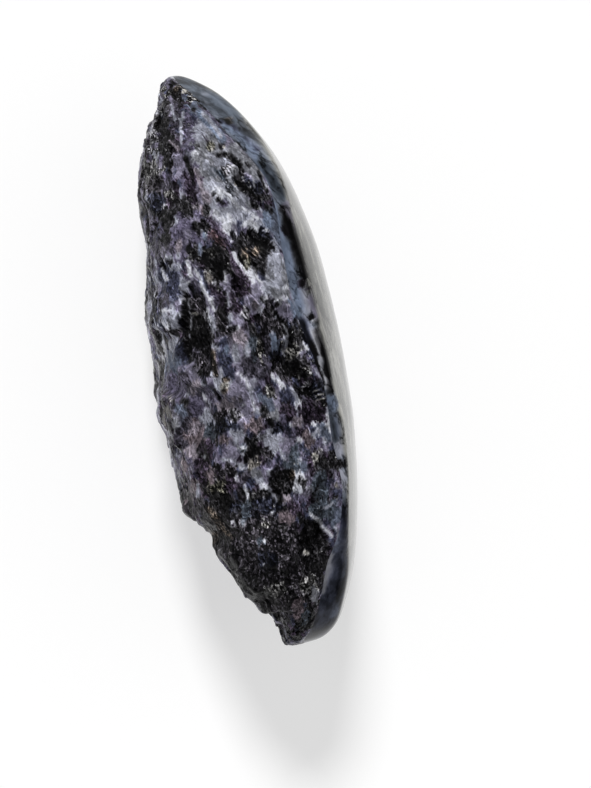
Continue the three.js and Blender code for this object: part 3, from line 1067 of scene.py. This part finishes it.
def broad_relief(point):
    """Height of the relief that the solid has too."""
    along, across, depth = point
    height = BLOCK_HEIGHT * facets(point, BLOCK_SIZE, BLOCK_TILT, BLOCK_SEED)
    height += FACET_HEIGHT * facets(point, FACET_SIZE, FACET_TILT, FACET_SEED)
    height += LUMP_HEIGHT * lumps(point, LUMP_SIZE, LUMP_SEED)
    for *form, deep in FORMS.values():
        height -= np.where(depth > 0, deep * form_share(along, across, *form), 0)
    return height


def softened(height):
    """Takes the sharpness off the steps of a grid of heights whose rows close on themselves."""
    for _ in range(STEP_SOFTENING):
        height = (np.roll(height, 1, axis=1) + 2 * height + np.roll(height, -1, axis=1)) / 4
        padded = np.vstack([height[:1], height, height[-1:]])
        height = (padded[:-2] + 2 * height + padded[2:]) / 4
    return height


def fine_relief(point):
    """Height of the grains, chips and grit."""
    place = shaken(grain_place(point), *GRAIN_SHAKE)
    height = GRAIN_HEIGHT * facets(place, GRAIN_SIZE, GRAIN_TILT, GRAIN_SEED)
    height += CHIP_HEIGHT * facets(place, CHIP_SIZE, CHIP_TILT, CHIP_SEED)
    return height + GRIT_HEIGHT * lumps(place, GRIT_SIZE, GRIT_SEED)


# The camera, which also places the markings

along_way = Vector((1, 0, 0))
across_way = Vector((0, -math.cos(LEAN), math.sin(LEAN)))
toward_camera = Vector((0, math.sin(LEAN), math.cos(LEAN)))
camera_right = across_way * math.cos(TILT) - along_way * math.sin(TILT)
camera_up = along_way * math.cos(TILT) + across_way * math.sin(TILT)
camera_target = Vector(lay(*LOOK_AT, 0))
camera_place = camera_target + toward_camera * CAMERA_DISTANCE


def add_object(name, data):
    """Puts a new object in the scene."""
    made = bpy.data.objects.new(name, data)
    bpy.context.collection.objects.link(made)
    return made


def make_camera():
    """The camera at the photograph's angle."""
    data = bpy.data.cameras.new("camera")
    camera = add_object("camera", data)
    facing = Matrix((camera_right, camera_up, toward_camera)).transposed().to_4x4()
    camera.matrix_world = Matrix.Translation(camera_place) @ facing
    data.sensor_fit = "VERTICAL"
    data.angle_y = 2 * math.atan(PHOTO_SIZE[1] / PHOTO_SCALE / 2 / CAMERA_DISTANCE)
    data.clip_start = CLIP_START
    data.clip_end = CLIP_END
    bpy.context.scene.camera = camera


def photo_pixels(place):
    """Where each place is in the photograph's frame: x and y."""
    seen = place - np.array(camera_place)
    ahead = -seen @ np.array(toward_camera)
    reach = PHOTO_SCALE * CAMERA_DISTANCE
    x = PHOTO_SIZE[0] / 2 + reach * (seen @ np.array(camera_right)) / ahead
    y = PHOTO_SIZE[1] / 2 - reach * (seen @ np.array(camera_up)) / ahead
    return np.stack([x, y])


# Minerals, as values on the surface's points

def patch_reach(pixels, mid_x, mid_y, high, wide, turn=0.0):
    """How far each pixel is from a patch's middle, 1 being on its border."""
    across, down = turned_by(pixels[0] - mid_x, pixels[1] - mid_y, turn)
    return np.sqrt((across / wide) ** 2 + (down / high) ** 2)


def streak_reach(pixels, half_width, *numbers):
    """How far each pixel is from a streak's line, 1 being on its border."""
    x, y = pixels
    points = list(zip(numbers[::2], numbers[1::2]))
    nearest = np.full(x.shape, np.inf)
    for (x0, y0), (x1, y1) in zip(points, points[1:]):
        dx, dy = x1 - x0, y1 - y0
        part = np.clip(((x - x0) * dx + (y - y0) * dy) / (dx * dx + dy * dy), 0, 1)
        nearest = np.minimum(nearest, np.hypot(x - x0 - part * dx, y - y0 - part * dy))
    return nearest / half_width


def border(reach, softness):
    """From 1 inside a marking to 0 outside it."""
    return smooth((1 + softness - reach) / (2 * softness))


class Minerals:
    """The minerals at each point: brightness, tint, grain contrast and relief."""

    def __init__(self, kind, shape):
        self.tone, self.tint, self.grain, self.height = (
            np.zeros(shape + np.shape(value)) + value for value in KINDS[kind]
        )

    def add(self, share, kind):
        """Blends in a kind of mineral by its share at each point."""
        tone, tint, grain, height = KINDS[kind]
        self.tone = self.tone + share * (tone - self.tone)
        self.tint = self.tint + share[..., None] * (np.array(tint) - self.tint)
        self.grain = self.grain + share * (grain - self.grain)
        self.height = self.height + share * (height - self.height)

    def add_patches(self, patches, shown, pixels, crystal_pixels=None, jitter=0):
        """Blends in patches. The wide ones have borders along the crystals, if these are given."""
        for kind, numbers in patches.values():
            if crystal_pixels is None or min(numbers[2:4]) < FINE_MARK:
                share = border(patch_reach(pixels, *numbers), FINE_SOFTNESS)
            else:
                share = border(patch_reach(crystal_pixels, *numbers) + jitter, EDGE_SOFTNESS)
            self.add(shown * share, kind)

    def add_streaks(self, streaks, shown, pixels):
        """Blends in streaks."""
        for kind, numbers in streaks.values():
            share = border(streak_reach(pixels, *numbers), STREAK_SOFTNESS)
            self.add(shown * share, kind)


def wanders(point, size, seeds):
    """Smooth wandering in the photograph's x and y, from -1 to 1."""
    return np.stack([lumps(point, size, seed) for seed in seeds])


def stone_minerals(point, place, raised, normal):
    """The minerals of the broken and of the polished side, at every point of the surface."""
    grain = grain_place(point)
    moved = shaken(grain, *CRYSTAL_SHAKE)
    key, away = nearest_cell(moved, CRYSTAL_SIZE, CRYSTAL_SEED)
    crystal = [m - a for m, a in zip(moved, away)]
    chance = hashed(key, CHANCE_SEED) - 0.5
    field = CLOUD_SHARE * lumps(crystal, CLOUD_SIZE, CLOUD_SEED)
    field = field + FLAKE_SHARE * facets(crystal, FLAKE_SIZE, 0.0, FLAKE_SEED)
    field = field + CHANCE_SHARE * chance

    along, _, depth = point
    angle = np.arcsin(along / HALF_LENGTH)
    upward = depth / np.maximum(near_depth(angle), LEAST_DEPTH)
    from_rim = shoulder_place(angle, depth)
    turned_start, turned_width = TURNED_FADE
    turned = smooth((turned_start - normal @ np.array(toward_camera)) / turned_width)
    stray = TURNED_WANDER * turned * wanders(crystal, TURNED_SIZE, TURNED_SEEDS)
    wander = FINE_WANDER * wanders(grain, WANDER_SIZE, WANDER_SEEDS)
    pixels = photo_pixels(raised)
    crystal_pixels = photo_pixels(raised + lay(*stone_place(crystal)) - place) + stray

    broken = Minerals(BROKEN_GROUND, field.shape)
    for level, kind in BROKEN_MIXTURE:
        broken.add(smooth((field - level) / MIXTURE_SOFTNESS + 0.5), kind)
    shown = fade_in(upward, *BROKEN_MARKS_FADE)
    strayed = pixels + stray + wander
    broken.add_patches(BROKEN_PATCHES, shown, strayed, crystal_pixels, CRYSTAL_JITTER * chance)
    broken.add_streaks(BROKEN_STREAKS, shown, strayed)

    polished = Minerals(SHOULDER_GROUND, field.shape)
    # The face's paler kind, partly painted reflection
    polished.add(fade_in(from_rim, *FACE_FADE), FACE_GROUND_AND_REFLECTION)
    shown = fade_in(upward, *POLISHED_MARKS_FADE) * (1 - fade_in(from_rim, *POLISHED_MARKS_END))
    polished.add_patches(POLISHED_PATCHES, shown, pixels + wander)
    polished.add_streaks(POLISHED_STREAKS, shown, pixels + wander)
    return broken, polished


# Materials

class Graph:
    """Builds the nodes of one material."""

    def __init__(self, name):
        self.material = bpy.data.materials.new(name)
        self.material.use_nodes = True
        self.tree = self.material.node_tree
        self.shader = self.tree.nodes["Principled BSDF"]

    def put(self, value, socket):
        """Links a socket's value to another socket, or sets it on that socket itself."""
        if isinstance(value, bpy.types.NodeSocket):
            self.tree.links.new(value, socket)
        else:
            socket.default_value = value

    def finish(self, inputs):
        """Sets the shader's inputs and gives the material."""
        for key, value in inputs.items():
            self.put(value, self.shader.inputs[key])
        return self.material

    def node(self, kind, inputs=(), **settings):
        """A new node."""
        made = self.tree.nodes.new(kind)
        for key, value in settings.items():
            setattr(made, key, value)
        for key, value in dict(inputs).items():
            self.put(value, made.inputs[key])
        return made

    def math(self, operation, *values, clamp=False):
        """One operation on numbers, which can be kept from 0 to 1."""
        inputs = dict(enumerate(values))
        return self.node("ShaderNodeMath", inputs, operation=operation, use_clamp=clamp).outputs[0]

    def vector(self, operation, *values):
        """One operation on vectors."""
        inputs = dict(enumerate(values))
        return self.node("ShaderNodeVectorMath", inputs, operation=operation).outputs[0]

    def scaled(self, vector, scale):
        """A vector made longer or shorter."""
        inputs = {0: vector, "Scale": scale}
        return self.node("ShaderNodeVectorMath", inputs, operation="SCALE").outputs[0]

    def ramp(self, value, low, high, out_low=0.0, out_high=1.0):
        """A value turned smoothly from one range into another."""
        inputs = dict(enumerate((value, low, high, out_low, out_high)))
        made = self.node("ShaderNodeMapRange", inputs, interpolation_type="SMOOTHSTEP")
        return made.outputs[0]

    def attribute(self, name, output="Fac"):
        """A value that is stored on the mesh."""
        return self.node("ShaderNodeAttribute", attribute_name=name).outputs[output]

    def noise(self, at, size, detail=2.0, roughness=0.5, output="Fac"):
        """Smooth noise."""
        inputs = {"Vector": at, "Scale": 1 / size, "Detail": detail, "Roughness": roughness}
        return self.node("ShaderNodeTexNoise", inputs).outputs[output]

    def cells(self, at, size):
        """A chance colour for each cell."""
        inputs = {"Vector": at, "Scale": 1 / size}
        return self.node("ShaderNodeTexVoronoi", inputs).outputs["Color"]

    def cell_edges(self, at, size):
        """The distance from the borders between cells."""
        inputs = {"Vector": at, "Scale": 1 / size}
        made = self.node("ShaderNodeTexVoronoi", inputs, feature="DISTANCE_TO_EDGE")
        return made.outputs["Distance"]

    def warped(self, at, size, reach):
        """The place moved about by up to reach, so that borders wander."""
        moved = self.vector("SUBTRACT", self.noise(at, size, output="Color"), MIDDLE_GREY)
        return self.vector("ADD", at, self.scaled(moved, 2 * reach))

    def channel(self, colour, name):
        """One channel of a colour."""
        return self.node("ShaderNodeSeparateColor", {"Color": colour}).outputs[name]

    def centred(self, value, size):
        """A value from 0 to 1 turned into one from minus half the size to plus half."""
        return self.math("MULTIPLY", self.math("SUBTRACT", value, 0.5), size)

    def coloured(self, name, value, steps):
        """The side's tint at the lightness that the steps give for a value from 0 to 1."""
        made = self.node("ShaderNodeValToRGB", {"Fac": value})
        stops = made.color_ramp.elements
        for n, (position, light) in enumerate(steps):
            stop = stops[n] if n < 2 else stops.new(position)
            stop.position = position
            stop.color = (light, light, light, 1)
        tint = self.attribute(name + "_tint", "Color")
        return self.vector("MULTIPLY", tint, made.outputs["Color"])

    def toned(self, name, pattern):
        """The side's brightness with a pattern, by the share of contrast that each mineral has."""
        lift = self.math("MULTIPLY", pattern, self.attribute(name + "_grain"))
        return self.math("ADD", self.attribute(name + "_tone"), lift, clamp=True)


def contrast(graph, at):
    """Grain contrast at several sizes."""
    layers = [
        graph.centred(graph.channel(graph.cells(at, size), "Red"), strength)
        for size, strength in CONTRAST_LAYERS
    ]
    size, strength = CONTRAST_LAYERS[-1]
    layers.append(graph.centred(graph.noise(at, size, *CONTRAST_NOISE), 2 * strength))
    total = layers[0]
    for layer in layers[1:]:
        total = graph.math("ADD", total, layer)
    return total


def edge_highlights(graph, at):
    """Thin pale lines, here and there: painted highlights along crystal edges."""
    edge = graph.cell_edges(at, HIGHLIGHT_LINE_SPACING)
    # The pale line along each cell border, a painted highlight
    vein = graph.ramp(edge, 0.0, HIGHLIGHT_LINE_WIDTH / HIGHLIGHT_LINE_SPACING, 1.0, 0.0)
    some = graph.ramp(graph.noise(at, HIGHLIGHT_LINE_GROUP_SIZE), *HIGHLIGHT_LINE_GROUP_FADE)
    return graph.math("MULTIPLY", graph.math("MULTIPLY", vein, some), HIGHLIGHT_LINE_LIFT)


def crystal_faces(graph, at):
    """The normal, turned this way and that as crystal faces are, most where the grain is strong."""
    turns = [
        graph.scaled(graph.vector("SUBTRACT", graph.cells(at, size), MIDDLE_GREY), turn)
        for size, turn in FACET_TURNS
    ]
    share = graph.ramp(graph.attribute("broken_grain"), *FACET_TURN_RANGE, *FACET_TURN_RANGE)
    uneven = graph.scaled(graph.vector("ADD", *turns), share)
    normal = graph.node("ShaderNodeNewGeometry").outputs["Normal"]
    return graph.vector("NORMALIZE", graph.vector("ADD", normal, uneven))


def broken_material():
    """Rough crystalline rock."""
    graph = Graph("broken_stone")
    at = graph.warped(graph.attribute("grain_place", "Vector"), *BROKEN_WARP)
    value = graph.toned("broken", contrast(graph, at))
    value = graph.math("ADD", value, edge_highlights(graph, at), clamp=True)
    gloss = graph.channel(graph.cells(at, GLOSS_SIZE), "Green")
    return graph.finish({
        "Base Color": graph.coloured("broken", value, BROKEN_LIGHTNESS),
        "Roughness": graph.ramp(gloss, 0.0, 1.0, *GLOSS_RANGE),
        "Specular IOR Level": BROKEN_SPECULAR,
        "Normal": crystal_faces(graph, at),
    })


def polished_material():
    """The same rock polished: a haze with dark branching lines; the face is pale partly by painted
    reflection.
    """
    graph = Graph("polished_stone")
    at = graph.warped(graph.attribute("grain_place", "Vector"), *POLISHED_WARP)
    haze = graph.centred(graph.ramp(graph.noise(at, *HAZE_NOISE), *HAZE_FADE), HAZE_STRENGTH)
    branch = graph.noise(graph.vector("ADD", at, BRANCH_SHIFT), *BRANCH_NOISE)
    ridge = graph.math("ABSOLUTE", graph.centred(branch, 2.0))
    line = graph.ramp(ridge, 0.0, BRANCH_WIDTH, 1.0, 0.0)
    some = graph.ramp(graph.noise(at, BRANCH_GROUP_SIZE), *BRANCH_GROUP_FADE)
    lines = graph.math("MULTIPLY", graph.math("MULTIPLY", line, some), BRANCH_LIFT)
    specks = graph.centred(graph.channel(graph.cells(at, SPECK_SIZE), "Red"), SPECK_STRENGTH)
    pattern = graph.math("ADD", graph.math("ADD", haze, lines), specks)
    value = graph.toned("polished", pattern)
    return graph.finish({
        "Base Color": graph.coloured("polished", value, POLISHED_LIGHTNESS),
        "Roughness": POLISHED_ROUGHNESS,
        "Specular IOR Level": POLISHED_SPECULAR,
    })


# The mesh

def grid_faces(ring_size):
    """The faces between the rings, which run from the low pole to the high one."""
    step = np.arange(ring_size)
    after = (step + 1) % ring_size
    base = 1 + np.arange(STATIONS - 1)[:, None] * ring_size
    quads = np.stack(
        [base + step, base + after, base + ring_size + after, base + ring_size + step], axis=-1
    ).reshape(-1, 4)
    last_ring = 1 + (STATIONS - 1) * ring_size
    high_pole = last_ring + ring_size
    caps = [(0, 1 + b, 1 + a) for a, b in zip(step, after)]
    caps += [(high_pole, last_ring + a, last_ring + b) for a, b in zip(step, after)]
    return quads.tolist() + caps


def store(mesh, name, values, kind="FLOAT"):
    """Keeps values on the mesh's points. The poles have those of their neighbours."""
    flat = values.reshape(STATIONS * values.shape[1], -1)
    flat = np.concatenate([flat[:1], flat, flat[-1:]])
    if kind == "FLOAT_COLOR":
        flat = np.hstack([flat, np.ones((len(flat), 1))])
    attribute = mesh.attributes.new(name, kind, "POINT")
    key = {"FLOAT": "value", "FLOAT_COLOR": "color", "FLOAT_VECTOR": "vector"}[kind]
    attribute.data.foreach_set(key, flat.astype(np.float32).ravel())


def make_stone():
    """The whole stone as one closed mesh, broken and polished."""
    rings = stone_rings()
    point = (rings["along"], rings["across"], rings["depth"])
    place = lay(*point)
    normal = grid_normals(place)
    height = rings["rough"] * softened(broad_relief(shaken(point, *RELIEF_SHAKE)))
    height += rings["fine"] * fine_relief(point)
    raised = place + normal * (height * MM)[..., None]
    broken, polished = stone_minerals(point, place, raised, normal)
    raised = raised + normal * (rings["fine"] * broken.height * MM)[..., None]
    raised[..., 2] = np.maximum(raised[..., 2], 0)

    poles = [lay(end * HALF_LENGTH, float(back_line(end * math.pi / 2)), 0.0) for end in (-1, 1)]
    points = np.vstack([poles[:1], raised.reshape(-1, 3), poles[1:]])
    ring_size = raised.shape[1]
    mesh = bpy.data.meshes.new("stone_surface")
    mesh.from_pydata(points.tolist(), [], grid_faces(ring_size))
    polish_of_step = (np.arange(ring_size) < POLISHED_STEPS).astype(np.int32)
    material_index = np.tile(polish_of_step, STATIONS + 1)
    mesh.polygons.foreach_set("material_index", material_index)
    mesh.polygons.foreach_set("use_smooth", np.ones(len(mesh.polygons), bool))

    for name, minerals in (("broken", broken), ("polished", polished)):
        store(mesh, name + "_tone", minerals.tone)
        store(mesh, name + "_grain", minerals.grain)
        store(mesh, name + "_tint", minerals.tint, "FLOAT_COLOR")
    store(mesh, "grain_place", np.stack(grain_place(point), axis=-1), "FLOAT_VECTOR")
    mesh.materials.append(broken_material())
    mesh.materials.append(polished_material())
    mesh.update()
    mesh.set_sharp_from_angle(angle=SHARP_ANGLE)
    stone = add_object("dendritic_stone", mesh)
    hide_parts("stone")
    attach(stone, "root")


# The setting

def make_floor():
    """A plain pale floor."""
    mesh = bpy.data.meshes.new("floor")
    corners = [(-1, -1), (1, -1), (1, 1), (-1, 1)]
    points = [(x * FLOOR_HALF, y * FLOOR_HALF, 0) for x, y in corners]
    mesh.from_pydata(points, [], [(0, 1, 2, 3)])
    mesh.materials.append(Graph("floor").finish(FLOOR_FINISH))
    add_object("floor", mesh)


def make_suns():
    """The key light and two broad fills."""
    for name, ((right, up, toward), energy, spread) in SUNS.items():
        data = bpy.data.lights.new(name, "SUN")
        data.energy = energy
        data.angle = math.radians(spread)
        direction = camera_up * up + camera_right * right + toward_camera * toward
        add_object(name, data).rotation_euler = direction.to_track_quat("Z", "Y").to_euler()


def make_sky():
    """White light from all round, strongest near the horizon."""
    world = bpy.data.worlds.new("studio")
    bpy.context.scene.world = world
    world.use_nodes = True
    nodes, links = world.node_tree.nodes, world.node_tree.links
    place = nodes.new("ShaderNodeTexCoord")
    split = nodes.new("ShaderNodeSeparateXYZ")
    climb = nodes.new("ShaderNodeMapRange")
    climb.interpolation_type = "SMOOTHSTEP"
    for n, number in enumerate((0.0, SKY_START, HORIZON_LIGHT, SKY_LIGHT), start=1):
        climb.inputs[n].default_value = number
    background = nodes["Background"]
    background.inputs["Color"].default_value = (1, 1, 1, 1)
    links.new(place.outputs["Generated"], split.inputs[0])
    links.new(split.outputs["Z"], climb.inputs[0])
    links.new(climb.outputs[0], background.inputs["Strength"])


make_camera()
make_floor()
make_sky()
make_suns()
make_stone()
bpy.context.scene.view_settings.view_transform = "Standard"
bpy.context.scene.view_settings.look = "None"
